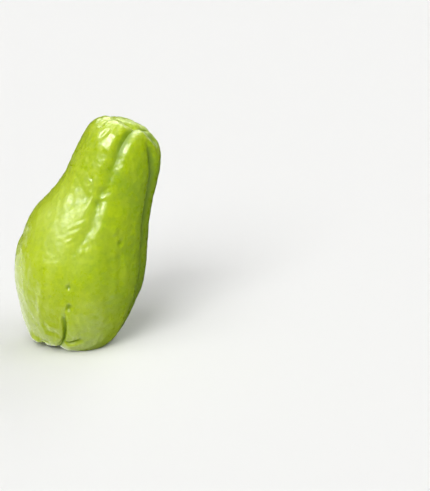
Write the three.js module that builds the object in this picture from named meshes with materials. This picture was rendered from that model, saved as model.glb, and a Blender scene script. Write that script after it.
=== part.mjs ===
import * as THREE from 'three';

const { clamp, degToRad, lerp, smoothstep } = THREE.MathUtils;

// A chayote standing on its blossom end and leaning to its right. Millimetres, +Z up, front at -Y.
// The origin lies on the flattened base, under the fruit's centre of mass.

const LEAN = degToRad(16);
const AXIS_FOOT = new THREE.Vector3(-15.5, 0, -1.2);
const DEPTH_OVER_WIDTH = 0.97;
const BASE_EDGE_ROUNDING = 0.4;
const SKIN_COLOUR = 0xa8c433;

// The smooth body, from the pit at the blossom end (station 0) to the pit at the stem end (station 20):
// [half width, height along the axis, shift to the right, shift to the back].
const STATIONS = [
  [0, 10.5, -1.6, 0], [2.6, 7.6, -1.6, 0], [7, 2.6, -1.6, 0], [14.2, 0.2, -1.6, 0], [23.6, 3.5, 0.6, 0],
  [29.2, 11, 0.7, 0], [33.6, 22, -0.7, 0], [37.2, 34, -2.7, 0], [39.2, 48, -3.6, 0], [37.9, 62, -3.7, 0],
  [35.3, 76, -3.8, 0], [30.7, 89, -1.8, -1.4], [27.7, 101, 0, -0.3], [26.2, 113, 0.9, 0], [24.8, 124, 1.5, 0],
  [21.4, 135, 1.3, 0], [16, 141, 1.4, -0.5], [10.4, 142.7, 2.5, -1.6], [6, 142.2, 3.4, -2.8],
  [2.8, 140.2, 4, -3.4], [0, 139.6, 4, -3.4],
];
const LAST_STATION = STATIONS.length - 1;
const HALF_WIDTHS = STATIONS.map(([halfWidth]) => halfWidth);
const HEIGHTS = STATIONS.map(([, height]) => height);
const RIGHT_SHIFTS = STATIONS.map(([, , right]) => right);
const BACK_SHIFTS = STATIONS.map(([, , , back]) => back);

// The crown slopes down to the right and the back, and the base slopes up to the right.
const CROWN = { from: 12.5, to: 17, rightSlope: 0.05, backSlope: 0.07 };
const BASE = { from: 3.5, to: 8.5, rightSlope: 0.085 };

// The furrows between the lobes, in order round the fruit, with the mesh columns up to the next one. A row is
// [station, degrees from the front, valley depth, valley half width, crease depth, crease half width].
const FURROWS = [
  {
    name: 'front slit and valley',
    columns: 12,
    rows: [
      [0, -10, 1.5, 9, 3, 7], [2, -10, 2, 11, 3, 8], [3.4, -9, 1.2, 9, 1.6, 5], [4.4, -7, 0.9, 5, 1.2, 3],
      [4.7, -5.5, 1.5, 3, 1.4, 2.2], [5, -4.2, 2.2, 2.2, 1.2, 1.8], [5.4, -3.8, 2.4, 1.9, 0.8, 1.6],
      [5.8, -4.2, 2.4, 1.9, 0.5, 1.6], [6.2, -5, 2.5, 2.1, 0, 1.6], [6.45, -5.3, 2.9, 2.3, 0, 1.6],
      [6.62, -5.4, 0, 2.3, 0, 1.6], [6.8, -5.4, 0.4, 8, 0, 3], [8.5, -6, 0.6, 9, 0, 3],
      [9.8, -5.5, 1.2, 7, 0, 3], [10.3, -3.4, 1.4, 6.5, 0, 3], [10.7, -1.6, 1.5, 6, 0, 3],
      [11.2, -4.6, 1.5, 6, 0, 3], [11.7, -7, 1.4, 6, 0, 3], [12.5, -7, 1.3, 6, 0, 3.5],
      [13.5, -4.6, 1.5, 6, 0, 4], [14.4, -2.9, 2.1, 6, 0.2, 4], [14.8, -1.6, 2.5, 5.5, 0.4, 4.5],
      [15.3, 2.5, 2.6, 5.5, 0.7, 4.5], [15.8, 6, 2.5, 5.5, 1, 4.5], [16.3, 10, 2, 5.5, 1.2, 4],
      [16.8, 13, 1.5, 5.5, 1.1, 4], [17.8, 18, 1, 5, 0.9, 3.5], [20, 20, 0.5, 4, 0.4, 3],
    ],
  },
  {
    name: 'right groove',
    columns: 8,
    rows: [
      [0, 60, 1.5, 9, 3, 7], [2, 64, 2, 11, 3.4, 8], [3.4, 72, 1.7, 12, 2.8, 7], [4.8, 80, 1.4, 12, 1.6, 6],
      [6.5, 77, 1.2, 12, 1.2, 5], [9.4, 71, 1.3, 10, 1.4, 4], [11.5, 68, 1.6, 8, 1.8, 5],
      [12.9, 63.5, 1.8, 7, 2, 5], [13.6, 60, 1.9, 7, 2.2, 5], [14.3, 55, 1.9, 7, 2, 5],
      [14.8, 50.5, 1.7, 6.5, 1.5, 5], [15.3, 44, 1.2, 6, 0.6, 5], [15.8, 34, 0.6, 5.5, 0, 5],
      [16.3, 34, 0, 4.5, 0, 3.5], [20, 34, 0, 4, 0, 3],
    ],
  },
  {
    name: 'right back groove',
    columns: 8,
    rows: [
      [0, 112, 1.5, 9, 3, 7], [2, 112, 2, 11, 3.4, 8], [4, 116, 1.8, 12, 2.6, 7], [6, 118, 1.5, 12, 1.8, 5],
      [8, 118, 1.2, 12, 1, 4], [13, 110, 1.2, 9, 1.8, 5], [15.8, 114, 1.5, 7, 2.8, 5],
      [17.5, 122, 1.2, 5, 2, 4.5], [20, 124, 0.5, 4, 0.6, 3],
    ],
  },
  {
    name: 'back groove',
    columns: 8,
    rows: [
      [0, 164, 1.5, 9, 3, 7], [2, 164, 2, 11, 3.4, 8], [4, 168, 1.8, 12, 2.6, 7], [6, 172, 1.4, 12, 1.4, 5],
      [11, 174, 1, 10, 0.8, 4], [14.5, 174, 0.4, 7, 0.2, 4], [17.5, 176, 0, 5, 0, 4], [20, 176, 0, 4, 0, 3],
    ],
  },
  {
    name: 'left back groove',
    columns: 10,
    rows: [
      [0, 218, 1.5, 9, 3, 7], [2, 220, 2, 11, 3.4, 8], [4, 224, 1.8, 12, 3, 7], [6, 226, 1.5, 12, 2, 5],
      [11, 226, 1.1, 10, 1.3, 4], [14, 230, 1, 9, 1.4, 4.5], [15.6, 238, 0.9, 8, 1, 4.5],
      [16.6, 244, 0.8, 8, 0.3, 4], [17.4, 245, 0.8, 7, 0.1, 4], [20, 246, 0.4, 4, 0.1, 3],
    ],
  },
  {
    name: 'left fold of the base',
    columns: 12,
    rows: [
      [0, 290, 1.5, 9, 3, 7], [2, 304, 1.6, 9, 2.4, 6], [3.4, 320, 0.6, 7, 1.4, 4], [4, 326, 0.3, 6, 1, 3.5],
      [4.7, 322, 0, 8, 0, 4], [8, 300, 0, 12, 0, 4], [14, 292, 0, 9, 0, 4], [20, 310, 0, 4, 0, 3],
    ],
  },
];
const FURROW_SAMPLES = 200;
const FURROW_SOFTENING = 0.3;

// Short folds beside the furrows: a path of [station, degrees], with the depth and half width in its middle.
const FOLDS = [
  {
    name: 'hook beside the slit',
    size: [1.3, 2.1],
    path: [
      [5.15, -4.5], [5, -1.9], [4.8, 1.5], [4.76, 4.5], [4.9, 8.8], [5.14, 13.9], [5.28, 17.3], [5.42, 21],
    ],
  },
  {
    name: 'fold left of the slit',
    size: [0.9, 2.6],
    path: [[5.43, -28], [5.36, -20], [5.34, -13], [5.3, -7]],
  },
  {
    name: 'corner fold',
    size: [0.9, 2.2],
    path: [[4.6, -50], [4.42, -42], [4.38, -34], [4.44, -26], [4.5, -20]],
  },
  {
    name: 'tear above the slit',
    size: [2.3, 2.6],
    path: [[7.24, -0.7], [7.02, -1.6], [6.8, -2.9]],
  },
  {
    name: 'hollow under the crown',
    size: [0.5, 3.2],
    path: [[15.75, -24], [15.7, -14], [15.6, -4]],
  },
  {
    name: 'right shoulder',
    size: [2.6, 9],
    path: [[18.3, 62], [17.6, 66], [16.8, 72], [16, 77], [15.2, 81], [14.4, 84]],
  },
  {
    name: 'low top of the right back lobe',
    size: [1.3, 5.5],
    path: [[18.6, 104], [17.8, 98], [17.1, 92], [16.6, 88]],
  },
  {
    name: 'long hollow, right',
    size: [0.45, 4.5],
    path: [[11, 18], [10, 22], [9, 28], [7.8, 32], [6.8, 34]],
  },
  {
    name: 'long hollow, far right',
    size: [0.55, 4],
    path: [[10, 33], [9.57, 34.8], [9.05, 37.8], [8.45, 41], [7.6, 43]],
  },
  {
    name: 'long hollow, left',
    size: [0.45, 5],
    path: [[8.6, -30], [7.6, -38], [6.8, -39], [5.8, -37]],
  },
];

// Swellings, given in the same way.
const RIDGES = [
  {
    name: 'lip of the slit',
    size: [0.9, 4.5],
    path: [[6.6, 0], [6.2, 2.5], [5.85, 5], [5.5, 6.5], [5.35, 4]],
  },
  {
    name: 'far crest',
    size: [0.9, 9],
    path: [[15.8, 118], [16.3, 138], [16.6, 162], [16.5, 188], [16.2, 210]],
  },
  {
    name: 'crown crest',
    size: [0.5, 5],
    path: [[16.6, -62], [16.9, -40], [17, -15]],
  },
  {
    name: 'brow under the crown',
    size: [0.75, 6],
    path: [[14.6, -44], [14.5, -30], [14.5, -18], [14.6, -8]],
  },
  {
    name: 'upper swelling',
    size: [0.45, 6],
    path: [[11.75, 5], [11.4, 5], [11.05, 6]],
  },
  {
    name: 'middle swelling',
    size: [0.75, 5.4],
    path: [[11, 6.5], [10.65, 7], [10.3, 5], [10, 2]],
  },
  {
    name: 'long crest, left',
    size: [0.35, 3.6],
    path: [[7.9, -29.5], [7.3, -29.5], [6.5, -30.5], [5.8, -31.4], [5.2, -32]],
  },
];
const STROKE_SAMPLES = 24;
const STROKE_FADE = 0.3;

const VALLEY_SPREAD = 1.15;
const BLEND_POWER = 3;

// The mesh: spans of rings from one pit to the other, closest round the slit, and columns drawn to the furrows.
const RING_SPANS = [
  { from: 1, to: 4.2, rings: 11 }, { from: 4.2, to: 7.4, rings: 22 }, { from: 7.4, to: 19, rings: 42 },
];
const COLUMN_CROWDING = { share: 0.85, first: 1.5, last: 17.5, ramp: 2 };
const NORMAL_STEP = 0.02;

// Catmull-Rom curve through evenly placed values, read at a place that counts from 0.
function curveThrough(values, place) {
  const first = clamp(Math.floor(place), 0, values.length - 2);
  const t = place - first;
  const [a, b, c, d] = [-1, 0, 1, 2].map((step) => values[clamp(first + step, 0, values.length - 1)]);
  return b + 0.5 * ((c - a) * t + (2 * a - 5 * b + 4 * c - d) * t ** 2 + (3 * b - a - 3 * c + d) * t ** 3);
}

// A point of the smooth body, in the fruit's own upright frame.
function smoothPoint(station, degrees) {
  const angle = degToRad(degrees);
  const halfWidth = curveThrough(HALF_WIDTHS, station);
  const x = halfWidth * Math.sin(angle);
  const y = -halfWidth * DEPTH_OVER_WIDTH * Math.cos(angle);
  const crown = smoothstep(station, CROWN.from, CROWN.to) * (CROWN.rightSlope * x + CROWN.backSlope * y);
  const base = (1 - smoothstep(station, BASE.from, BASE.to)) * BASE.rightSlope * x;
  return new THREE.Vector3(
    x + curveThrough(RIGHT_SHIFTS, station),
    y + curveThrough(BACK_SHIFTS, station),
    curveThrough(HEIGHTS, station) - crown + base,
  );
}

function smoothNormal(station, degrees) {
  const along = smoothPoint(station + NORMAL_STEP, degrees).sub(smoothPoint(station - NORMAL_STEP, degrees));
  const around = smoothPoint(station, degrees + 1).sub(smoothPoint(station, degrees - 1));
  return around.cross(along).normalize();
}

// The values of a furrow at a station, straight between its rows.
function rowValues(rows, station) {
  const next = clamp(rows.findIndex((row) => row[0] >= station), 1, rows.length - 1);
  const [before, after] = [rows[next - 1], rows[next]];
  const share = clamp((station - before[0]) / (after[0] - before[0]), 0, 1);
  return before.map((value, column) => lerp(value, after[column], share));
}

// The same, averaged over a short stretch so that the rows leave no corner.
function furrowValues(rows, station) {
  const places = [-1, -2 / 3, -1 / 3, 0, 1 / 3, 2 / 3, 1].map((step) => station + step * FURROW_SOFTENING);
  const samples = places.map((place) => rowValues(rows, clamp(place, 0, LAST_STATION)));
  return samples[0].map((_, column) => samples.reduce((sum, row) => sum + row[column], 0) / samples.length);
}

// Points along a furrow on the smooth body, each with its valley and crease.
function traceFurrow({ rows }) {
  return Array.from({ length: FURROW_SAMPLES + 1 }, (_, i) => {
    const station = (i / FURROW_SAMPLES) * LAST_STATION;
    const [, degrees, ...shape] = furrowValues(rows, station);
    return { point: smoothPoint(station, degrees), shape };
  });
}

// The same for a fold or a ridge, which fades out towards both ends.
function traceStroke({ size: [height, halfWidth], path }) {
  return Array.from({ length: STROKE_SAMPLES + 1 }, (_, i) => {
    const share = i / STROKE_SAMPLES;
    const [station, degrees] = [0, 1].map((column) => (
      curveThrough(path.map((corner) => corner[column]), share * (path.length - 1))
    ));
    const fade = smoothstep(Math.min(share, 1 - share), 0, STROKE_FADE);
    return { point: smoothPoint(station, degrees), shape: [height * fade, halfWidth] };
  });
}

// Distance from a point to a traced line, and the line's shape at the nearest place.
function nearestOn(line, point) {
  let best = { distance: Infinity };
  for (let i = 1; i < line.length; i += 1) {
    const start = line[i - 1].point;
    const step = line[i].point.clone().sub(start);
    const share = clamp(point.clone().sub(start).dot(step) / Math.max(step.lengthSq(), 1e-9), 0, 1);
    const distance = start.clone().addScaledVector(step, share).distanceTo(point);
    if (distance < best.distance) best = { distance, index: i, share };
  }
  const [before, after] = [line[best.index - 1].shape, line[best.index].shape];
  const shape = before.map((value, column) => lerp(value, after[column], best.share));
  return { distance: best.distance, shape };
}

// A soft bell, 1 in the middle.
function valleySection(offset) {
  return (1 - Math.min(offset / VALLEY_SPREAD, 1) ** 2) ** 3;
}

// Two round shoulders that meet in a sharp bottom.
function creaseSection(offset) {
  return 1 - Math.sqrt(1 - (1 - Math.min(offset, 1)) ** 2);
}

function blend(depths) {
  return depths.reduce((sum, depth) => sum + depth ** BLEND_POWER, 0) ** (1 / BLEND_POWER);
}

const furrowLines = FURROWS.map(traceFurrow);
const foldLines = FOLDS.map(traceStroke);
const ridgeLines = RIDGES.map(traceStroke);

// How far the skin lies under the smooth body.
function sinkAt(point) {
  const nearestOnAll = (lines) => lines.map((line) => nearestOn(line, point));
  const [furrows, folds, ridges] = [furrowLines, foldLines, ridgeLines].map(nearestOnAll);
  const valley = ({ distance, shape }) => shape[0] * valleySection(distance / shape[1]);
  const crease = ({ distance, shape }) => shape[2] * creaseSection(distance / shape[3]);
  return blend([...furrows, ...folds].map(valley)) + blend(furrows.map(crease)) - blend(ridges.map(valley));
}

// Leans the fruit, stands it on the floor and flattens what would be below the floor.
function stand(point) {
  point.applyAxisAngle(new THREE.Vector3(0, 1, 0), LEAN).add(AXIS_FOOT);
  const rounding = BASE_EDGE_ROUNDING;
  if (point.z < rounding) point.z = Math.max(point.z + rounding, 0) ** 2 / (4 * rounding);
  return point;
}

function skinPoint(station, degrees) {
  const point = smoothPoint(station, degrees);
  const sink = sinkAt(point);
  return stand(point.addScaledVector(smoothNormal(station, degrees), -sink));
}

function pitPoint(station, outward) {
  const point = smoothPoint(station, 0);
  return stand(point.addScaledVector(new THREE.Vector3(0, 0, -outward), sinkAt(point)));
}

function ringStations() {
  const inner = RING_SPANS.flatMap(({ from, to, rings }) => (
    Array.from({ length: rings }, (_, i) => lerp(from, to, i / rings))
  ));
  return [...inner, RING_SPANS.at(-1).to];
}

// The angles of a ring's columns, crowded towards the furrows away from the pits.
function columnAngles(station) {
  const { share, first, last, ramp } = COLUMN_CROWDING;
  const crowding = share * clamp(Math.min(station - first, last - station) / ramp, 0, 1);
  return FURROWS.flatMap(({ rows, columns }, i) => {
    const start = furrowValues(rows, station)[1];
    const following = FURROWS[(i + 1) % FURROWS.length].rows;
    const end = furrowValues(following, station)[1] + (i === FURROWS.length - 1 ? 360 : 0);
    return Array.from({ length: columns }, (_, column) => {
      const even = column / columns;
      return lerp(start, end, lerp(even, smoothstep(even, 0, 1), crowding));
    });
  });
}

function buildSkin() {
  const stations = ringStations();
  const points = stations.flatMap((station) => (
    columnAngles(station).map((degrees) => skinPoint(station, degrees))
  ));
  const columns = points.length / stations.length;
  const lastRing = stations.length - 1;
  const blossomPit = points.push(pitPoint(0, -1)) - 1;
  const stemPit = points.push(pitPoint(LAST_STATION, 1)) - 1;
  const index = [];
  const at = (ring, column) => ring * columns + (column % columns);
  for (let column = 0; column < columns; column += 1) {
    index.push(blossomPit, at(0, column + 1), at(0, column));
    index.push(stemPit, at(lastRing, column), at(lastRing, column + 1));
    for (let ring = 0; ring < lastRing; ring += 1) {
      const [a, b] = [at(ring, column), at(ring, column + 1)];
      const [c, d] = [at(ring + 1, column + 1), at(ring + 1, column)];
      index.push(a, b, c, a, c, d);
    }
  }
  const geometry = new THREE.BufferGeometry().setFromPoints(points);
  geometry.setIndex(index);
  geometry.computeVertexNormals();
  return geometry;
}

const fruit = new THREE.Mesh(
  buildSkin(),
  new THREE.MeshStandardMaterial({ color: SKIN_COLOUR, roughness: 0.35, metalness: 0 }),
);
fruit.name = 'fruit';

const chayote = new THREE.Group();
chayote.name = 'chayote';
chayote.add(fruit);

export default chayote;
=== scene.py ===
import math

import bpy
import numpy as np
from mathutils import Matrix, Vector


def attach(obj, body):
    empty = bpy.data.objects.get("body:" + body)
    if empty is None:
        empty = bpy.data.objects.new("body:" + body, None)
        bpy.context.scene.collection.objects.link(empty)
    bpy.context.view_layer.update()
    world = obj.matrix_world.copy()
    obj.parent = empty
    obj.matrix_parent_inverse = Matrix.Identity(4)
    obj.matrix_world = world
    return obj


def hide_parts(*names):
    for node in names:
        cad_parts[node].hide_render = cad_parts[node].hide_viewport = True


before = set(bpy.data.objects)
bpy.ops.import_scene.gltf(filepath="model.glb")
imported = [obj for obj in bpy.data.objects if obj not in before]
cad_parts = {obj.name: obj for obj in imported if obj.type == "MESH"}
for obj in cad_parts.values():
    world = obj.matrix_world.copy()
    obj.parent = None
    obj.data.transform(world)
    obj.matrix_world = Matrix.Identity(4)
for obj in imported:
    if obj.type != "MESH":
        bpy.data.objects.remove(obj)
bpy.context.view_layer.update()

# A green chayote that stands on its blossom end and leans to its right, on a pale floor in soft light.
# The tables of its shape and relief are in millimetres and degrees. The rest is in metres, as Blender is.

millimetre = 0.001


# Helpers for node trees.

# where new nodes go, so that a tree can be read in the node editor
nodeColumns = 14
nodeSpacing = (200, -320)


# Adds nodes to one tree. What is given for a socket is linked if it is a socket too, and else set on it.
class NodeBench:

    def __init__(self, tree):
        self.tree = tree

    def add(self, kind, inputs=None, **settings):
        row, column = divmod(len(self.tree.nodes), nodeColumns)
        node = self.tree.nodes.new(kind)
        node.location = (nodeSpacing[0] * column, nodeSpacing[1] * row)
        for name, value in settings.items():
            setattr(node, name, value)
        for key, value in (inputs or {}).items():
            self.feed(node.inputs[key], value)
        return node

    def feed(self, socket, value):
        if isinstance(value, bpy.types.NodeSocket):
            self.tree.links.new(value, socket)
        elif value is not None:
            socket.default_value = (*value, 1) if socket.type == "RGBA" else value

    def math(self, operation, first, second=None, third=None, clamp=False):
        values = {0: first, 1: second, 2: third}
        return self.add("ShaderNodeMath", values, operation=operation, use_clamp=clamp).outputs[0]

    # a soft step from low to high
    def ramp(self, value, start, end, low=0.0, high=1.0):
        inputs = {0: value, 1: start, 2: end, 3: low, 4: high}
        return self.add("ShaderNodeMapRange", inputs, interpolation_type="SMOOTHSTEP").outputs[0]

    def noise(self, place, scale, detail=2.0, roughness=0.5):
        inputs = {"Vector": place, "Scale": scale, "Detail": detail, "Roughness": roughness}
        return self.add("ShaderNodeTexNoise", inputs).outputs[0]

    def split(self, vector):
        return self.add("ShaderNodeSeparateXYZ", {0: vector}).outputs

    def scaled(self, vector, scale):
        inputs = {0: vector, "Scale": scale}
        return self.add("ShaderNodeVectorMath", inputs, operation="SCALE").outputs["Vector"]

    # the distance between two vectors, or their dot product
    def compared(self, operation, first, second):
        inputs = {0: first, 1: second}
        return self.add("ShaderNodeVectorMath", inputs, operation=operation).outputs["Value"]

    def mix(self, share, first, second):
        node = self.add("ShaderNodeMix", data_type="RGBA")
        inputs = {socket.identifier: socket for socket in node.inputs}
        self.feed(inputs["Factor_Float"], share)
        self.feed(inputs["A_Color"], first)
        self.feed(inputs["B_Color"], second)
        return next(socket for socket in node.outputs if socket.identifier == "Result_Color")


def geometryTree(name, inputs):
    tree = bpy.data.node_groups.new(name, "GeometryNodeTree")
    tree.interface.new_socket("Geometry", in_out="OUTPUT", socket_type="NodeSocketGeometry")
    tree.interface.new_socket("Geometry", in_out="INPUT", socket_type="NodeSocketGeometry")
    for label, kind in inputs.items():
        tree.interface.new_socket(label, in_out="INPUT", socket_type="NodeSocket" + kind)
    bench = NodeBench(tree)
    return bench, bench.add("NodeGroupInput").outputs


def runTree(piece, tree, values):
    modifier = piece.modifiers.new(tree.name, "NODES")
    modifier.node_group = tree
    for socket in tree.interface.items_tree:
        if socket.in_out == "INPUT" and socket.name in values:
            modifier[socket.identifier] = values[socket.name]


def bakeModifiers(piece):
    graph = bpy.context.evaluated_depsgraph_get()
    finished = bpy.data.meshes.new_from_object(piece.evaluated_get(graph), depsgraph=graph)
    piece.modifiers.clear()
    piece.data = finished


# The smooth body, without its furrows. A station is a number that counts the rows of the table below.

fruitForm = {
    "lean": 16.0,
    "axisFoot": (-15.5, 0.0, -1.2),
    "depthOverWidth": 0.97,
    # half width, height along the axis, shift to the right, shift to the back, from the lower pit up
    "stations": [
        (0, 10.5, -1.6, 0), (2.6, 7.6, -1.6, 0), (7, 2.6, -1.6, 0), (14.2, 0.2, -1.6, 0),
        (23.6, 3.5, 0.6, 0), (29.2, 11, 0.7, 0), (33.6, 22, -0.7, 0), (37.2, 34, -2.7, 0),
        (39.2, 48, -3.6, 0), (37.9, 62, -3.7, 0), (35.3, 76, -3.8, 0), (30.7, 89, -1.8, -1.4),
        (27.7, 101, 0, -0.3), (26.2, 113, 0.9, 0), (24.8, 124, 1.5, 0), (21.4, 135, 1.3, 0),
        (16, 141, 1.4, -0.5), (10.4, 142.7, 2.5, -1.6), (6, 142.2, 3.4, -2.8), (2.8, 140.2, 4, -3.4),
        (0, 139.6, 4, -3.4),
    ],
    # the slopes of the two ends, which begin or stop between these stations
    "crown": {"from": 12.5, "to": 17, "rightSlope": 0.05, "backSlope": 0.07},
    "base": {"from": 3.5, "to": 8.5, "rightSlope": 0.085},
    "rings": 296,
    "firstRing": 0.3,
    "columnsPerFurrow": [66, 42, 36, 36, 48, 72],
    # columns draw towards the furrows by this share, but not at the even ends, past which it rises
    "crowding": 0.85,
    "evenEnds": (1.5, 2.5),
    "crowdingRise": 2.0,
}
lastStation = len(fruitForm["stations"]) - 1

# The skin's own coordinates, skinPlace, are a point's sine and cosine, and its station over this number.
stationStretch = 7.0


def smoothStep(value, start, end):
    share = np.clip((value - start) / (end - start), 0, 1)
    return share * share * (3 - 2 * share)


# Catmull-Rom curve through a list of values, read at places that count from 0.
def curveThrough(values, places):
    values = np.asarray(values, float)
    places = np.asarray(places, float)
    first = np.clip(places.astype(int), 0, len(values) - 2)
    t = places - first
    a, b, c, d = (values[np.clip(first + step, 0, len(values) - 1)] for step in (-1, 0, 1, 2))
    return b + 0.5 * ((c - a) * t + (2 * a - 5 * b + 4 * c - d) * t**2 + (3 * b - a - 3 * c + d) * t**3)


# Points of the body by station and degrees, which go from the front to the right.
def bodyPoints(station, degrees):
    form = fruitForm
    crown, base = form["crown"], form["base"]
    angle = np.radians(degrees)
    halfWidth, height, right, back = (curveThrough(column, station) for column in zip(*form["stations"]))
    x = halfWidth * np.sin(angle)
    y = -halfWidth * form["depthOverWidth"] * np.cos(angle)
    crownFall = crown["rightSlope"] * x + crown["backSlope"] * y
    crownSlope = smoothStep(station, crown["from"], crown["to"]) * crownFall
    baseSlope = (1 - smoothStep(station, base["from"], base["to"])) * base["rightSlope"] * x
    upright = np.stack([x + right, y + back, height - crownSlope + baseSlope], -1)
    return standUp(upright) * millimetre


# Leans points of the upright fruit and moves them to where it stands.
def standUp(points):
    lean = math.radians(fruitForm["lean"])
    x = points[..., 0] * math.cos(lean) + points[..., 2] * math.sin(lean)
    z = points[..., 2] * math.cos(lean) - points[..., 0] * math.sin(lean)
    return np.stack([x, points[..., 1], z], -1) + np.array(fruitForm["axisFoot"])


# The furrows between the lobes, from the lower pit to the upper one.

# A row is station, degrees from the front, valley depth, valley half width, crease depth, crease half width.
furrows = {
    "frontSlit": [
        (0, -10, 1.5, 9, 3, 7), (2, -10, 2, 11, 3, 8), (3.4, -9, 1.2, 9, 1.6, 5), (4.4, -6.2, 0.9, 5, 1.2, 3),
        (4.7, -4.9, 1.5, 2.7, 1.4, 2), (5, -4.2, 2, 1.7, 1.1, 1.4), (5.4, -3.5, 2, 1.5, 0.7, 1.3),
        (5.8, -3.9, 2.3, 2, 0.5, 1.4), (6.2, -5, 1.9, 2.4, 0, 1.6), (6.55, -5.6, 1.8, 3, 0, 1.6),
        (6.8, -5.6, 0, 3, 0, 1.6), (7, -5.4, 0.4, 8, 0, 3), (8.5, -6, 0.6, 9, 0, 3),
        (9.8, -5.5, 1.2, 7, 0, 3), (10.3, -3.4, 1.4, 6.5, 0, 3), (10.7, -1.6, 1.5, 6, 0, 3),
        (11.2, -4.6, 1.5, 6, 0, 3), (11.7, -7, 1.4, 6, 0, 3), (12.5, -7, 1.3, 6, 0, 3.5),
        (13.5, -4.6, 1.5, 6, 0, 4), (14.4, -2.9, 2.1, 6, 0.2, 4), (14.8, -1.6, 2.5, 5.5, 0.4, 4.5),
        (15.3, 2.5, 2.6, 5.5, 0.7, 4.5), (15.8, 6, 2.5, 5.5, 1, 4.5), (16.3, 10, 2, 5.5, 1.2, 4),
        (16.8, 13, 1.5, 5.5, 1.1, 4), (17.8, 18, 1, 5, 0.9, 3.5), (20, 20, 0.5, 4, 0.4, 3),
    ],
    "rightGroove": [
        (0, 60, 1.5, 9, 3, 7), (2, 64, 2, 11, 3.4, 8), (3.4, 72, 1.7, 12, 2.8, 7), (4.8, 80, 1.4, 12, 1.6, 6),
        (6.5, 77, 1.2, 12, 1.2, 5), (9.4, 71, 1.3, 10, 1.4, 4), (11.5, 68, 1.6, 8, 1.8, 5),
        (12.9, 63.5, 1.8, 7, 2, 5), (13.6, 60, 1.9, 7, 2.2, 5), (14.3, 55, 1.9, 7, 2, 5),
        (14.8, 50, 1.5, 6.5, 1.4, 5), (15.15, 45.5, 0.8, 6, 0.6, 5), (15.5, 41, 0.2, 5.5, 0, 5),
        (15.8, 38, 0, 5.5, 0, 5), (16.3, 36, 0, 4.5, 0, 3.5), (20, 34, 0, 4, 0, 3),
    ],
    "rightBackGroove": [
        (0, 112, 1.5, 9, 3, 7), (2, 112, 2, 11, 3.4, 8), (4, 116, 1.8, 12, 2.6, 7), (6, 118, 1.5, 12, 1.8, 5),
        (8, 118, 1.2, 12, 1, 4), (13, 110, 1.2, 9, 1.8, 5), (15.8, 114, 1.5, 7, 2.8, 5),
        (17.5, 122, 1.2, 5, 2, 4.5), (20, 124, 0.5, 4, 0.6, 3),
    ],
    "backGroove": [
        (0, 164, 1.5, 9, 3, 7), (2, 164, 2, 11, 3.4, 8), (4, 168, 1.8, 12, 2.6, 7), (6, 172, 1.4, 12, 1.4, 5),
        (11, 174, 1, 10, 0.8, 4), (14.5, 174, 0.4, 7, 0.2, 4), (17.5, 176, 0, 5, 0, 4), (20, 176, 0, 4, 0, 3),
    ],
    "leftBackGroove": [
        (0, 218, 1.5, 9, 3, 7), (2, 220, 2, 11, 3.4, 8), (4, 224, 1.8, 12, 3, 7), (6, 226, 1.5, 12, 2, 5),
        (11, 226, 1.1, 10, 1.3, 4), (14, 230, 1, 9, 1.4, 4.5), (15.6, 238, 0.9, 8, 1, 4.5),
        (16.6, 244, 0.8, 8, 0.3, 4), (17.4, 245, 0.8, 7, 0.1, 4), (20, 246, 0.4, 4, 0.1, 3),
    ],
    "leftBaseFold": [
        (0, 290, 1.5, 9, 3, 7), (2, 304, 1.6, 9, 2.4, 6), (3.4, 320, 0.6, 7, 1.4, 4),
        (4, 326, 0.3, 6, 1, 3.5), (4.7, 322, 0, 8, 0, 4), (8, 300, 0, 12, 0, 4),
        (14, 292, 0, 9, 0, 4), (20, 310, 0, 4, 0, 3),
    ],
}

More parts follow.
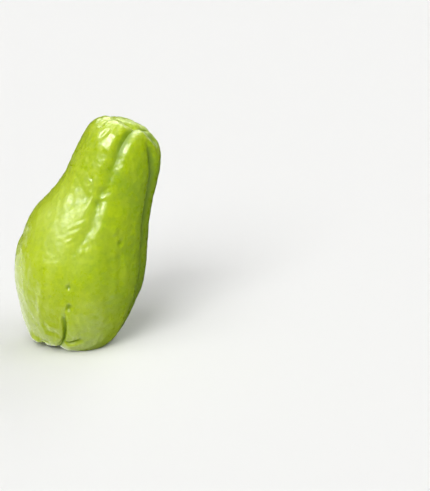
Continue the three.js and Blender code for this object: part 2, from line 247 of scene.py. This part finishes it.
# Short folds beside the furrows: a path of station and degrees, then depth and half width in its middle.
folds = {
    "hookBesideSlit": {"path": [(5.5, -4.6), (5.2, -4.6), (4.96, -3.8), (4.82, -1), (4.82, 3),
                                (4.92, 7.5), (5.12, 12), (5.28, 16), (5.42, 20)],
                       "valley": (1.8, 2.0), "crease": (0.4, 1.5)},
    "foldLeftOfSlit": {"path": [(5.43, -28), (5.36, -20), (5.34, -13), (5.3, -7)], "valley": (0.75, 2.8)},
    "shoulderHollow": {"path": [(11.1, -44), (11.35, -36), (11.6, -29), (11.85, -23), (12.05, -16)],
                       "valley": (1.15, 7.0)},
    "cornerFold": {"path": [(4.6, -50), (4.42, -42), (4.38, -34), (4.44, -26), (4.5, -20)],
                   "crease": (1.2, 2.6)},
    "besideLip": {"path": [(6.85, 7), (6.6, 13), (6.2, 17.5), (5.8, 18.5), (5.5, 16)], "valley": (0.4, 3.0)},
    "tearAboveSlit": {"path": [(7.24, -0.7), (7.02, -1.6), (6.8, -2.9)], "valley": (1.9, 2.8)},
    "dimpleTail": {"path": [(8.4, -2.4), (8.15, -3.9), (7.95, -5.2)], "valley": (0.85, 2.2)},
    "crownDent": {"path": [(15.65, -29.5), (15.3, -32), (14.97, -34), (14.6, -37)], "valley": (0.9, 2.5)},
    "crownDentLeft": {"path": [(16.3, -58), (15.8, -56), (15.2, -54)], "valley": (0.6, 3.0)},
    "crownHollow": {"path": [(15.75, -24), (15.7, -14), (15.6, -4)], "valley": (0.5, 3.2)},
    "rightShoulder": {"path": [(18.3, 62), (17.6, 66), (16.8, 72), (16, 77), (15.2, 81), (14.4, 84)],
                      "valley": (2.6, 9.0)},
    "farTop": {"path": [(18.6, 112), (17.8, 104), (17.1, 98), (16.6, 92)], "valley": (1.9, 6.5)},
    "bridgeGroove0": {"path": [(12.45, -16), (12.35, -8), (12.5, 0)], "valley": (0.5, 2.0)},
    "bridgeGroove1": {"path": [(11.75, -15), (11.7, -8), (11.85, -1)], "valley": (0.5, 2.2)},
    "sideFold0": {"path": [(11.15, -8.2), (10.95, -12), (10.78, -16), (10.58, -20.5)], "valley": (0.3, 1.5)},
    "sideFold1": {"path": [(10.74, -6.6), (10.58, -10.2), (10.42, -14.2), (10.24, -18.4), (10.08, -22)],
                  "valley": (0.35, 1.5)},
    "sideFold2": {"path": [(10.3, -6), (10.16, -9.8), (10.0, -14), (9.84, -18.2), (9.72, -21.5)],
                  "valley": (0.3, 1.5)},
    "longHollowRight": {"path": [(11, 18), (10, 22), (9, 28), (7.8, 32), (6.8, 34)], "valley": (0.45, 4.5)},
    "longHollowFarRight": {"path": [(10, 33), (9.57, 34.8), (9.05, 37.8), (8.45, 41), (7.6, 43)],
                           "valley": (0.55, 4.0)},
    "longHollowLeft": {"path": [(8.6, -30), (7.6, -38), (6.8, -39), (5.8, -37)], "valley": (0.45, 5.0)},
}

# Raised lines, with height and half width in their middle.
ridges = {
    "slitLip": {"path": [(6.6, 0), (6.2, 2.5), (5.85, 5), (5.5, 6.5), (5.35, 4)], "ridge": (1.1, 4.5)},
    "cornerLobe": {"path": [(4.55, -64), (4.3, -55), (4.12, -48), (4.0, -42), (4.0, -37)],
                   "ridge": (1.4, 4.5)},
    "foldCrest": {"path": [(5.8, -28), (5.76, -20), (5.75, -13), (5.69, -7)], "ridge": (0.4, 2.8)},
    "hookLobe": {"path": [(4.5, 0), (4.6, 5), (4.75, 11), (4.95, 17), (5.2, 23)], "ridge": (0.4, 3.4)},
    "farCrest": {"path": [(16.5, 165), (16.6, 190), (16.3, 212)], "ridge": (0.6, 8.5)},
    "leftCrest": {"path": [(16.0, -104), (16.4, -92), (16.7, -78), (16.8, -64)], "ridge": (0.6, 5.0)},
    "rightRim": {"path": [(16.45, 30), (16.4, 42), (16.3, 54), (16.1, 66)], "ridge": (0.8, 5.5)},
    "crownCrest": {"path": [(16.6, -62), (16.9, -40), (17.0, -15)], "ridge": (0.5, 5.0)},
    "crownBrow": {"path": [(14.6, -44), (14.5, -30), (14.5, -18), (14.6, -8)], "ridge": (0.75, 6.0)},
    "bridge0": {"path": [(12.65, -17), (12.62, -8.9), (12.75, 0)], "ridge": (0.45, 2.2)},
    "bridge1": {"path": [(11.95, -17), (12.02, -8.9), (12.16, 0)], "ridge": (0.35, 2.2)},
    "sideCrest0": {"path": [(11.0, -6.5), (10.78, -10.7), (10.63, -15.3), (10.44, -19.8), (10.22, -23.5)],
                   "ridge": (0.16, 1.4)},
    "sideCrest1": {"path": [(10.52, -6.5), (10.32, -11.3), (10.17, -16.3), (9.97, -21)],
                   "ridge": (0.19, 1.3)},
    "sideCrest2": {"path": [(10.06, -8.5), (9.91, -13.4), (9.78, -17.2), (9.62, -22)], "ridge": (0.17, 1.5)},
    "swelling0": {"path": [(11.75, 8), (11.4, 9), (11.05, 11)], "ridge": (0.35, 6.0)},
    "swelling1": {"path": [(11.0, 6.5), (10.65, 7), (10.3, 5), (10.0, 2)], "ridge": (0.75, 5.4)},
    "swelling2": {"path": [(11, 21.5), (10.76, 23.4), (10.45, 25)], "ridge": (0.7, 2.8)},
    "lowSwelling0": {"path": [(9.68, -1.0), (9.5, -1.2), (9.36, -1.6)], "ridge": (0.3, 2.0)},
    "lowSwelling1": {"path": [(9.56, -7.4), (9.5, -8.8), (9.42, -10.4)], "ridge": (0.3, 1.9)},
    "lowSwelling2": {"path": [(9.36, -4.8), (9.3, -6), (9.22, -7.6)], "ridge": (0.3, 1.8)},
    "longCrestRight": {"path": [(9.8, 42), (9.3, 44.5), (8.85, 47.4), (8, 50)], "ridge": (0.25, 4.0)},
    "longCrestLeft": {"path": [(7.9, -29.5), (7.3, -29.5), (6.5, -30.5), (5.8, -31.4), (5.2, -32)],
                      "ridge": (0.35, 3.6)},
}

# station, degrees, depth, radius
dimples = [
    (7.93, -5.2, 1.5, 2.7), (10.22, 32.8, 1.3, 2.9), (7.27, -20.2, 0.5, 1.7), (12.79, -26.1, 0.5, 1.8),
    (7.47, 32.8, 0.4, 2.2), (12.27, -7.1, 0.8, 3.2), (11.74, -6.6, 0.8, 3.2),
]

# How lines are drawn: a furrow is averaged over a short stretch of stations, and folds and ridges fade out
# over a share of their length at each end.
lineDrawing = {
    "furrowSoftening": 0.3,
    "softeningSteps": 7,
    "furrowPoints": 1000,
    "foldPoints": 60,
    "foldFade": 0.3,
}


# The columns of a furrow's rows at many stations, averaged over a short stretch so that no corner is left.
def furrowColumns(rows, stations):
    rows = np.array(rows, float)
    softening = lineDrawing["furrowSoftening"]
    shifts = np.linspace(-softening, softening, lineDrawing["softeningSteps"])
    places = np.clip(np.asarray(stations)[..., None] + shifts, 0, lastStation)
    return [np.interp(places, rows[:, 0], rows[:, column]).mean(-1) for column in range(1, rows.shape[1])]


# A line, or loose points, with values that the trees read. It is removed when the fruit is baked.
def helperLine(name, points, values, joined=True):
    mesh = bpy.data.meshes.new(name)
    edges = [(i, i + 1) for i in range(len(points) - 1)] if joined else []
    mesh.from_pydata(points.tolist(), edges, [])
    for label, column in values.items():
        mesh.attributes.new(label, "FLOAT", "POINT").data.foreach_set("value", np.asarray(column, np.float32))
    line = bpy.data.objects.new(name, mesh)
    bpy.context.scene.collection.objects.link(line)
    return line


def furrowLine(name, rows):
    stations = np.linspace(0, lastStation, lineDrawing["furrowPoints"])
    degrees, *shape = furrowColumns(rows, stations)
    labels = ("valleyDepth", "valleyWidth", "creaseDepth", "creaseWidth")
    return helperLine(name, bodyPoints(stations, degrees), dict(zip(labels, shape)))


def foldLine(name, fold):
    path = fold["path"]
    places = np.linspace(0, len(path) - 1, lineDrawing["foldPoints"])
    station, degrees = (curveThrough(column, places) for column in zip(*path))
    toEnd = np.minimum(places, places[::-1]) / places[-1]
    fade = smoothStep(toEnd, 0, lineDrawing["foldFade"])
    values = {}
    for kind, size in (("valley", "Depth"), ("crease", "Depth"), ("ridge", "Height")):
        middle, halfWidth = fold.get(kind, (0.0, 1.0))
        values[kind + size] = middle * fade
        values[kind + "Width"] = np.full(len(fade), halfWidth)
    return helperLine(name, bodyPoints(station, degrees), values)


# Trees that press a line into the skin.

# A valley is a soft bell that reaches a little past its half width. Lines that cross are joined by the cube
# root of the sum of their cubes, so that a crossing isn't twice as deep.
lineSection = {"bellReach": 1.15, "bellPower": 3.0, "joinPower": 3.0}


def readField(bench, label, kind="FLOAT"):
    return bench.add("GeometryNodeInputNamedAttribute", {"Name": label}, data_type=kind).outputs[0]


def storeField(bench, geometry, label, value):
    inputs = {"Geometry": geometry, "Name": label, "Value": value}
    return bench.add("GeometryNodeStoreNamedAttribute", inputs, data_type="FLOAT", domain="POINT").outputs[0]


# The distance to a helper line's edges or points, in millimetres, and a reader of the line's values at its
# nearest point.
def nearestOnLine(bench, helper, element):
    line = bench.add("GeometryNodeObjectInfo", {0: helper}, transform_space="ORIGINAL").outputs["Geometry"]
    place = bench.add("GeometryNodeInputPosition").outputs[0]
    nearest = bench.add("GeometryNodeSampleNearest", {"Geometry": line, "Sample Position": place}).outputs[0]
    inputs = {0: line, "Source Position": place}
    metres = bench.add("GeometryNodeProximity", inputs, target_element=element).outputs["Distance"]

    def read(label):
        wanted = {"Geometry": line, "Value": readField(bench, label), "Index": nearest}
        return bench.add("GeometryNodeSampleIndex", wanted).outputs[0]

    return bench.math("DIVIDE", metres, millimetre), read


# 1 on the line, and nearly nothing from the half width on.
def bellSection(bench, distance, halfWidth):
    reach = bench.math("MULTIPLY", halfWidth, lineSection["bellReach"])
    across = bench.math("MINIMUM", bench.math("DIVIDE", distance, reach), 1.0)
    inside = bench.math("SUBTRACT", 1.0, bench.math("MULTIPLY", across, across))
    return bench.math("POWER", inside, lineSection["bellPower"])


# Two round shoulders that meet in a sharp bottom.
def creaseSection(bench, distance, halfWidth):
    across = bench.math("MINIMUM", bench.math("DIVIDE", distance, halfWidth), 1.0)
    inward = bench.math("SUBTRACT", 1.0, across)
    arc = bench.math("SQRT", bench.math("SUBTRACT", 1.0, bench.math("MULTIPLY", inward, inward)))
    return bench.math("SUBTRACT", 1.0, arc)


def addToField(bench, skin, label, amount):
    powered = bench.math("POWER", amount, lineSection["joinPower"])
    return storeField(bench, skin, label, bench.math("ADD", readField(bench, label), powered))


def joinedField(bench, label):
    return bench.math("POWER", readField(bench, label), 1 / lineSection["joinPower"])


def makePressTree():
    bench, given = geometryTree("pressLine", {"Line": "Object"})
    distance, read = nearestOnLine(bench, given["Line"], "EDGES")
    valley = bench.math("MULTIPLY", read("valleyDepth"), bellSection(bench, distance, read("valleyWidth")))
    crease = bench.math("MULTIPLY", read("creaseDepth"), creaseSection(bench, distance, read("creaseWidth")))
    skin = addToField(bench, given["Geometry"], "valleyCubes", valley)
    bench.add("NodeGroupOutput", {0: addToField(bench, skin, "creaseCubes", crease)})
    return bench.tree


def makeRaiseTree():
    bench, given = geometryTree("raiseLine", {"Line": "Object"})
    distance, read = nearestOnLine(bench, given["Line"], "EDGES")
    height = bench.math("MULTIPLY", read("ridgeHeight"), bellSection(bench, distance, read("ridgeWidth")))
    bench.add("NodeGroupOutput", {0: addToField(bench, given["Geometry"], "ridgeCubes", height)})
    return bench.tree


def makeDimpleTree():
    bench, given = geometryTree("pressDimples", {"Dimples": "Object"})
    distance, read = nearestOnLine(bench, given["Dimples"], "POINTS")
    depth = bench.math("MULTIPLY", read("dimpleDepth"), bellSection(bench, distance, read("dimpleRadius")))
    bench.add("NodeGroupOutput", {0: storeField(bench, given["Geometry"], "dimpleDepth", depth)})
    return bench.tree


# The relief that moves the skin.

# These are the tree's inputs. The streaks are counted on the skin's own coordinates.
skinRelief = {
    "Swell Height": 0.45,
    "Swell Size": 16.0,
    "Ripple Height": 0.45,
    "Ripple Size": 6.0,
    "Grain Height": 0.26,
    "Grain Size": 2.8,
    "Streak Height": 0.14,
    "Streak Count": 9.0,
    "Foot Rounding": 0.4,
}

# Soft steps: from, to, and the values before and after if they aren't 0 and 1.
reliefSteps = {
    "streaksBelowCrown": (18.2, 15.5),
    "wavesOutOfCreases": (0.2, 1.6, 1.0, 0.25),
    "wavesAboveFoot": (0.5, 6.0),
}


def makeReliefTree():
    labels = {name: "Float" for name in skinRelief}
    bench, given = geometryTree("skinRelief", {**labels, "Skin": "Material"})
    place = bench.scaled(bench.add("GeometryNodeInputPosition").outputs[0], 1 / millimetre)
    along = readField(bench, "skinPlace", "FLOAT_VECTOR")
    station = bench.math("MULTIPLY", bench.split(along)[2], stationStretch)

    def step(name, value):
        return bench.ramp(value, *reliefSteps[name])

    # noise from minus to plus the height
    def wave(where, size, height, detail):
        centred = bench.math("SUBTRACT", bench.noise(where, bench.math("DIVIDE", 1.0, size), detail), 0.5)
        return bench.math("MULTIPLY", centred, bench.math("MULTIPLY", height, 2.0))

    crease = joinedField(bench, "creaseCubes")
    furrow = bench.math("ADD", joinedField(bench, "valleyCubes"), crease)
    dimple = readField(bench, "dimpleDepth")
    ridge = joinedField(bench, "ridgeCubes")
    pressed = bench.math("ADD", furrow, bench.math("SUBTRACT", dimple, ridge))
    swell = wave(place, given["Swell Size"], given["Swell Height"], detail=1.0)
    ripple = wave(place, given["Ripple Size"], given["Ripple Height"], detail=2.0)
    grain = wave(place, given["Grain Size"], given["Grain Height"], detail=1.0)
    streakSize = bench.math("DIVIDE", 1.0, given["Streak Count"])
    streak = wave(along, streakSize, given["Streak Height"], detail=2.0)
    streak = bench.math("MULTIPLY", streak, step("streaksBelowCrown", station))
    waves = bench.math("ADD", bench.math("ADD", swell, ripple), bench.math("ADD", grain, streak))
    waves = bench.math("MULTIPLY", waves, step("wavesOutOfCreases", crease))
    waves = bench.math("MULTIPLY", waves, step("wavesAboveFoot", bench.split(place)[2]))
    lift = bench.math("MULTIPLY", bench.math("SUBTRACT", waves, pressed), millimetre)
    offset = bench.scaled(bench.add("GeometryNodeInputNormal").outputs[0], lift)
    skin = bench.add("GeometryNodeSetPosition", {"Geometry": given["Geometry"], "Offset": offset}).outputs[0]

    # what would lie under the floor goes up to it, with a soft edge
    axes = bench.split(bench.add("GeometryNodeInputPosition").outputs[0])
    rounding = bench.math("MULTIPLY", given["Foot Rounding"], millimetre)
    over = bench.math("MAXIMUM", bench.math("ADD", axes[2], rounding), 0.0)
    edge = bench.math("DIVIDE", bench.math("MULTIPLY", over, over), bench.math("MULTIPLY", rounding, 4.0))
    inEdge = bench.math("LESS_THAN", axes[2], rounding)
    aboveEdge = bench.math("MULTIPLY", bench.math("SUBTRACT", 1.0, inEdge), axes[2])
    height = bench.math("ADD", bench.math("MULTIPLY", inEdge, edge), aboveEdge)
    onFloor = bench.add("ShaderNodeCombineXYZ", {0: axes[0], 1: axes[1], 2: height}).outputs[0]
    skin = bench.add("GeometryNodeSetPosition", {"Geometry": skin, "Position": onFloor}).outputs[0]

    skin = storeField(bench, skin, "furrowDepth", furrow)
    skin = bench.add("GeometryNodeSetShadeSmooth", {0: skin}).outputs[0]
    skin = bench.add("GeometryNodeRealizeInstances", {0: skin}).outputs[0]
    skin = bench.add("GeometryNodeSetMaterial", {"Geometry": skin, "Material": given["Skin"]}).outputs[0]
    bench.add("NodeGroupOutput", {0: skin})
    return bench.tree


# The fruit.

# A ring's column angles, drawn towards the furrows so that their bottoms lie on columns.
def columnAngles(stations):
    lowerEnd, upperEnd = fruitForm["evenEnds"]
    inward = np.minimum(stations - lowerEnd, lastStation - upperEnd - stations)
    crowding = fruitForm["crowding"] * np.clip(inward / fruitForm["crowdingRise"], 0, 1)
    starts = [furrowColumns(rows, stations)[0] for rows in furrows.values()]
    ends = starts[1:] + [starts[0] + 360]
    columns = []
    for start, end, count in zip(starts, ends, fruitForm["columnsPerFurrow"]):
        for i in range(count):
            even = i / count
            drawn = 0.5 - 0.5 * math.cos(math.pi * even)
            columns.append(start + (end - start) * (even + (drawn - even) * crowding))
    return np.array(columns).T


def makeSmoothBody():
    first = fruitForm["firstRing"]
    stations = np.linspace(first, lastStation - first, fruitForm["rings"])
    degrees = columnAngles(stations)
    rings, columns = degrees.shape
    station = np.repeat(stations[:, None], columns, 1)
    points = bodyPoints(station, degrees).reshape(-1, 3)
    pits = [bodyPoints(np.array(float(end)), np.array(0.0)) for end in (0, lastStation)]
    lower, upper = len(points), len(points) + 1
    top = (rings - 1) * columns
    faces = []
    for column in range(columns):
        after = (column + 1) % columns
        faces.append((lower, after, column))
        faces.append((upper, top + column, top + after))
        for ring in range(0, top, columns):
            above = ring + columns
            faces.append((ring + column, ring + after, above + after, above + column))
    mesh = bpy.data.meshes.new("fruitBody")
    mesh.from_pydata(np.vstack([points, pits]).tolist(), [], faces)
    angle = np.radians(degrees)
    skinPlace = np.stack([np.sin(angle), np.cos(angle), station / stationStretch], -1).reshape(-1, 3)
    skinPlace = np.vstack([skinPlace, [(0, 0, 0), (0, 0, lastStation / stationStretch)]])
    attribute = mesh.attributes.new("skinPlace", "FLOAT_VECTOR", "POINT")
    attribute.data.foreach_set("vector", skinPlace.astype(np.float32).ravel())
    body = bpy.data.objects.new("chayoteFruit", mesh)
    bpy.context.scene.collection.objects.link(body)
    return body


def makeFruit(skin):
    body = makeSmoothBody()
    pressTree, raiseTree = makePressTree(), makeRaiseTree()
    lines = [(pressTree, furrowLine(name, rows)) for name, rows in furrows.items()]
    lines += [(pressTree, foldLine(name, fold)) for name, fold in folds.items()]
    lines += [(raiseTree, foldLine(name, ridge)) for name, ridge in ridges.items()]
    for tree, line in lines:
        runTree(body, tree, {"Line": line})
    station, degrees, depth, radius = (np.array(column, float) for column in zip(*dimples))
    values = {"dimpleDepth": depth, "dimpleRadius": radius}
    points = helperLine("dimples", bodyPoints(station, degrees), values, joined=False)
    runTree(body, makeDimpleTree(), {"Dimples": points})
    runTree(body, makeReliefTree(), {**skinRelief, "Skin": skin})
    bakeModifiers(body)
    for helper in [line for tree, line in lines] + [points]:
        bpy.data.objects.remove(helper)
    return body


# The skin's finish.

skinFinish = {
    # the skin's greens from yellow to deep; its own patches and painted light and shade choose among them
    "yellowGreen": (0.40, 0.515, 0.004),
    "freshGreen": (0.325, 0.45, 0.003),
    "deepGreen": (0.24, 0.375, 0.002),
    # painted shade: the next three greens darken the furrows and dimples, the right side and the fruit near
    # the floor
    "creaseShadeGreen": (0.13, 0.235, 0.002),
    "paintedShadeGreen": (0.15, 0.24, 0.002),
    "lowGreen": (0.27, 0.355, 0.012),
    # pale green is the skin's streaks and specks, and also painted sheen
    "paleGreenAndSheen": (0.49, 0.60, 0.065),
    "cork": (0.25, 0.20, 0.06),
    # scale, detail, roughness
    "noises": {
        "patches": (45.0, 3.0),
        "mottle": (330.0, 3.0, 0.65),
        "streaks": (5.0, 4.0, 0.6),
        "shine": (260.0, 4.0, 0.65),
        "pores": (900.0, 2.0),
    },
    "patchShare": 1.5,
    "mottleShare": 1.7,
    "speckScale": 300.0,
    # how fast painted shade deepens the green to the right, and how much lower the painted shade near the
    # floor lies there
    "paintedShadeFall": -12.0,
    "floorShadeTilt": 0.3,
    "paintedSheenSpot": (-0.011, -0.033, 0.085),
    "paintedSheenSpotShare": 0.24,
    "paintedSheenSpotDullness": 0.16,
    # directions on the skin's own coordinates, for the two bands of painted shade
    "paintedShadeRidge": (0.59, 0.81, 0.0),
    "paintedShadeFlank": (0.966, -0.259, 0.0),
    # soft steps: from, to, and the values before and after if they aren't 0 and 1
    "steps": {
        # the crown step is painted light: it makes the top of the fruit yellower
        "crown": (13.5, 16.5, 0.58, 1.0),
        "fresh": (0.0, 0.5),
        "yellow": (0.45, 1.0),
        "low": (0.06, -0.01, 0.0, 0.75),
        "paintedSheenSpot": (0.036, 0.010),
        "paleStreaks": (0.46, 0.72, 0.0, 0.34),
        "palePatches": (0.5, 0.34, 0.0, 0.16),
        "paleOnLitSide": (0.3, 0.75, 0.2, 1.0),
        "paintedShadeRidge": (0.9, 0.995, 0.0, 0.2),
        "specks": (0.14, 0.07, 0.0, 0.25),
        # painted shade in the furrows and dimples
        "furrow": (0.6, 2.5, 0.0, 0.72),
        "dimple": (0.2, 1.4, 0.0, 0.6),
        # painted shade on the right flank, fading out at the neck and in patches
        "flank": (0.68, 0.96, 0.0, 0.88),
        "flankTop": (15.5, 12.5),
        "flankPatches": (0.3, 0.6, 1.0, 0.75),
        "upperScar": (19.0, 19.6),
        "lowerScar": (1.1, 0.4),
        "roughness": (0.36, 0.64, 0.25, 0.38),
        "furrowRoughness": (0.8, 2.2, 0.0, 0.6),
    },
    "poreStrength": 0.18,
    "poreDepth": 0.0004,
    "ior": 1.45,
    "specular": 0.45,
    "subsurface": 0.1,
    "subsurfaceRadius": (1.0, 0.9, 0.1),
    "subsurfaceScale": 0.003,
}


def makeSkin():
    look = skinFinish
    skin = bpy.data.materials.new("chayoteSkin")
    skin.use_nodes = True
    skin.node_tree.nodes.clear()
    bench = NodeBench(skin.node_tree)

    def step(name, value):
        return bench.ramp(value, *look["steps"][name])

    def noise(name, where):
        return bench.noise(where, *look["noises"][name])

    # noise from minus to plus half the share
    def centred(value, share):
        return bench.math("MULTIPLY_ADD", value, share, -share / 2)

    def painted(share, under, paint):
        return bench.mix(share, under, look[paint])

    place = bench.add("ShaderNodeTexCoord").outputs["Object"]
    axes = bench.split(place)
    right, height = axes[0], axes[2]
    along = bench.add("ShaderNodeAttribute", attribute_name="skinPlace").outputs["Vector"]
    station = bench.math("MULTIPLY", bench.split(along)[2], stationStretch)
    furrow = bench.add("ShaderNodeAttribute", attribute_name="furrowDepth").outputs["Fac"]
    dimple = bench.add("ShaderNodeAttribute", attribute_name="dimpleDepth").outputs["Fac"]
    patches = noise("patches", place)

    # from deep to yellow green, by the skin's own patches and mottle and by painted shade and light: deeper
    # green to the right, yellower on the crown
    side = bench.math("MULTIPLY_ADD", right, look["paintedShadeFall"], step("crown", station))
    shade = bench.math("ADD", side, centred(patches, look["patchShare"]))
    shade = bench.math("ADD", shade, centred(noise("mottle", place), look["mottleShare"]), clamp=True)
    colour = bench.mix(step("fresh", shade), look["deepGreen"], look["freshGreen"])
    colour = painted(step("yellow", shade), colour, "yellowGreen")
    # painted shade near the floor: a darker, slightly greyer green low on the fruit, lying lower on the right
    tilted = bench.math("MULTIPLY_ADD", right, look["floorShadeTilt"], height)
    colour = painted(step("low", tilted), colour, "lowGreen")

    # a painted sheen on the left shoulder, the skin's pale streaks and patches kept mostly to the lit left
    # side as partly painted sheen, and a band of painted shade down the front right
    shoulder = step("paintedSheenSpot", bench.compared("DISTANCE", place, look["paintedSheenSpot"]))
    streaks = step("paleStreaks", noise("streaks", along))
    pale = bench.math("MULTIPLY_ADD", shoulder, look["paintedSheenSpotShare"], streaks)
    pale = bench.math("ADD", pale, step("palePatches", patches))
    # keeping the pale marks to the lit left side makes them partly painted sheen
    pale = bench.math("MULTIPLY", pale, step("paleOnLitSide", side))
    colour = painted(pale, colour, "paleGreenAndSheen")
    # painted shade: a deeper green band down the front-right ridge
    turned = bench.compared("DOT_PRODUCT", along, look["paintedShadeRidge"])
    colour = painted(step("paintedShadeRidge", turned), colour, "paintedShadeGreen")

    # the skin's pale specks, then painted shade in the furrows and dimples
    specks = bench.add("ShaderNodeTexVoronoi", {"Vector": place, "Scale": look["speckScale"]})
    colour = painted(step("specks", specks.outputs["Distance"]), colour, "paleGreenAndSheen")
    colour = painted(step("furrow", furrow), colour, "creaseShadeGreen")
    colour = painted(step("dimple", dimple), colour, "creaseShadeGreen")

    # painted shade on the right flank below the neck, and the two scars
    turned = bench.compared("DOT_PRODUCT", along, look["paintedShadeFlank"])
    flank = bench.math("MULTIPLY", step("flank", turned), step("flankTop", station))
    flank = bench.math("MULTIPLY", flank, step("flankPatches", patches))
    colour = painted(flank, colour, "paintedShadeGreen")
    scar = bench.math("MAXIMUM", step("upperScar", station), step("lowerScar", station))
    colour = painted(scar, colour, "cork")

    # gloss that changes from place to place, and duller hollows
    hollow = step("furrowRoughness", bench.math("ADD", furrow, dimple))
    shine = step("roughness", noise("shine", place))
    # the spot of painted sheen is also rougher
    shine = bench.math("MULTIPLY_ADD", shoulder, look["paintedSheenSpotDullness"], shine)
    pores = {"Strength": look["poreStrength"], "Distance": look["poreDepth"], "Height": noise("pores", place)}
    shader = bench.add("ShaderNodeBsdfPrincipled", {
        "Base Color": colour,
        "Roughness": bench.math("MAXIMUM", shine, hollow),
        "Normal": bench.add("ShaderNodeBump", pores).outputs[0],
        "IOR": look["ior"],
        "Specular IOR Level": look["specular"],
        "Subsurface Weight": look["subsurface"],
        "Subsurface Radius": look["subsurfaceRadius"],
        "Subsurface Scale": look["subsurfaceScale"],
    })
    bench.add("ShaderNodeOutputMaterial", {"Surface": shader.outputs[0]})
    return skin


# Floor, light and camera.

studio = {
    "floorColour": (0.80, 0.80, 0.79),
    "floorRoughness": 0.9,
    "floorRadius": 9.0,
    "floorSides": 64,
    "backdrop": (0.905, 0.905, 0.89),
    "airGlow": 0.03,
    # azimuth from the camera's side (right is +), elevation and apparent width in degrees, then strength,
    # and whether the lamp lights the colour of things or their gloss
    "lamps": {
        "frontLight": (-19, 34, 30, 2.15, "matte"),
        "highLight": (-30, 62, 40, 0.95, "matte"),
        "rightLight": (84, 42, 50, 0.85, "matte"),
        "backLight": (150, 35, 40, 0.7, "matte"),
        "topLight": (20, 80, 100, 0.5, "matte"),
        "keySheen": (-41, 41, 34, 6.8, "gloss"),
        "shoulderSheen": (-50, 30, 18, 0.5, "gloss"),
        "skySheen": (-20, 80, 80, 1.5, "gloss"),
        "backSheen": (-168, 56, 50, 4.6, "gloss"),
        "rimSheen": (154, 22, 34, 0.75, "gloss"),
        "leftSheen": (-106, 30, 40, 0.3, "gloss"),
        "lowLeftSheen": (-122, -39, 74, 2.4, "gloss"),
        "floorSheen": (20, -72, 60, 1.4, "gloss"),
    },
}


def makeFloor():
    bpy.ops.mesh.primitive_circle_add(
        vertices=studio["floorSides"], radius=studio["floorRadius"], fill_type="NGON")
    floor = bpy.context.object
    floor.name = "floor"
    paint = bpy.data.materials.new("floorPaint")
    paint.use_nodes = True
    shader = paint.node_tree.nodes["Principled BSDF"]
    shader.inputs["Base Color"].default_value = (*studio["floorColour"], 1)
    shader.inputs["Roughness"].default_value = studio["floorRoughness"]
    shader.inputs["Specular IOR Level"].default_value = 0.0
    floor.data.materials.append(paint)
    floor.visible_glossy = False
    floor.visible_shadow = False


def towards(azimuth, elevation):
    azimuth, elevation = math.radians(azimuth), math.radians(elevation)
    level = math.cos(elevation)
    return Vector((math.sin(azimuth) * level, -math.cos(azimuth) * level, math.sin(elevation)))


# Each lamp is as far away as a sun, so its light is the same all over the fruit.
def makeLight():
    for name, (azimuth, elevation, width, strength, lights) in studio["lamps"].items():
        lamp = bpy.data.lights.new(name, "SUN")
        lamp.energy = strength
        lamp.angle = math.radians(width)
        holder = bpy.data.objects.new(name, lamp)
        holder.location = towards(azimuth, elevation)
        holder.rotation_euler = (-towards(azimuth, elevation)).to_track_quat("-Z", "Y").to_euler()
        holder.visible_diffuse = lights != "gloss"
        holder.visible_glossy = lights != "matte"
        bpy.context.scene.collection.objects.link(holder)


# The camera sees the backdrop, and the fruit is lit by a dimmer glow.
def makeRoom():
    world = bpy.data.worlds.new("studioRoom")
    world.use_nodes = True
    world.node_tree.nodes.clear()
    bench = NodeBench(world.node_tree)
    seen = bench.add("ShaderNodeLightPath").outputs["Is Camera Ray"]
    colour = bench.mix(seen, [studio["airGlow"]] * 3, studio["backdrop"])
    air = bench.add("ShaderNodeBackground", {"Color": colour, "Strength": 1.0})
    bench.add("ShaderNodeOutputWorld", {"Surface": air.outputs[0]})
    bpy.context.scene.world = world


photoView = {
    "lens": 122.2,
    "sensorWidth": 36.0,
    "distance": 1.0,
    "elevation": 18.0,
    "target": (0.0760, 0.0, 0.05985),
}


def makeCamera():
    view = bpy.data.cameras.new("photoView")
    view.sensor_width = photoView["sensorWidth"]
    view.sensor_fit = "AUTO"
    view.lens = photoView["lens"]
    camera = bpy.data.objects.new("photoView", view)
    away = towards(0, photoView["elevation"])
    camera.location = Vector(photoView["target"]) + away * photoView["distance"]
    camera.rotation_euler = (-away).to_track_quat("-Z", "Y").to_euler()
    bpy.context.scene.collection.objects.link(camera)
    bpy.context.scene.camera = camera


# The whole scene.

makeCamera()
makeFloor()
makeLight()
makeRoom()
bpy.context.scene.view_settings.view_transform = "Standard"
print("camera, floor and light made")

skin = makeSkin()
print("skin made:", len(skin.node_tree.nodes), "nodes")

fruit = makeFruit(skin)
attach(fruit, "root")
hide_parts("fruit")
print("fruit made:", len(fruit.data.vertices), "points")
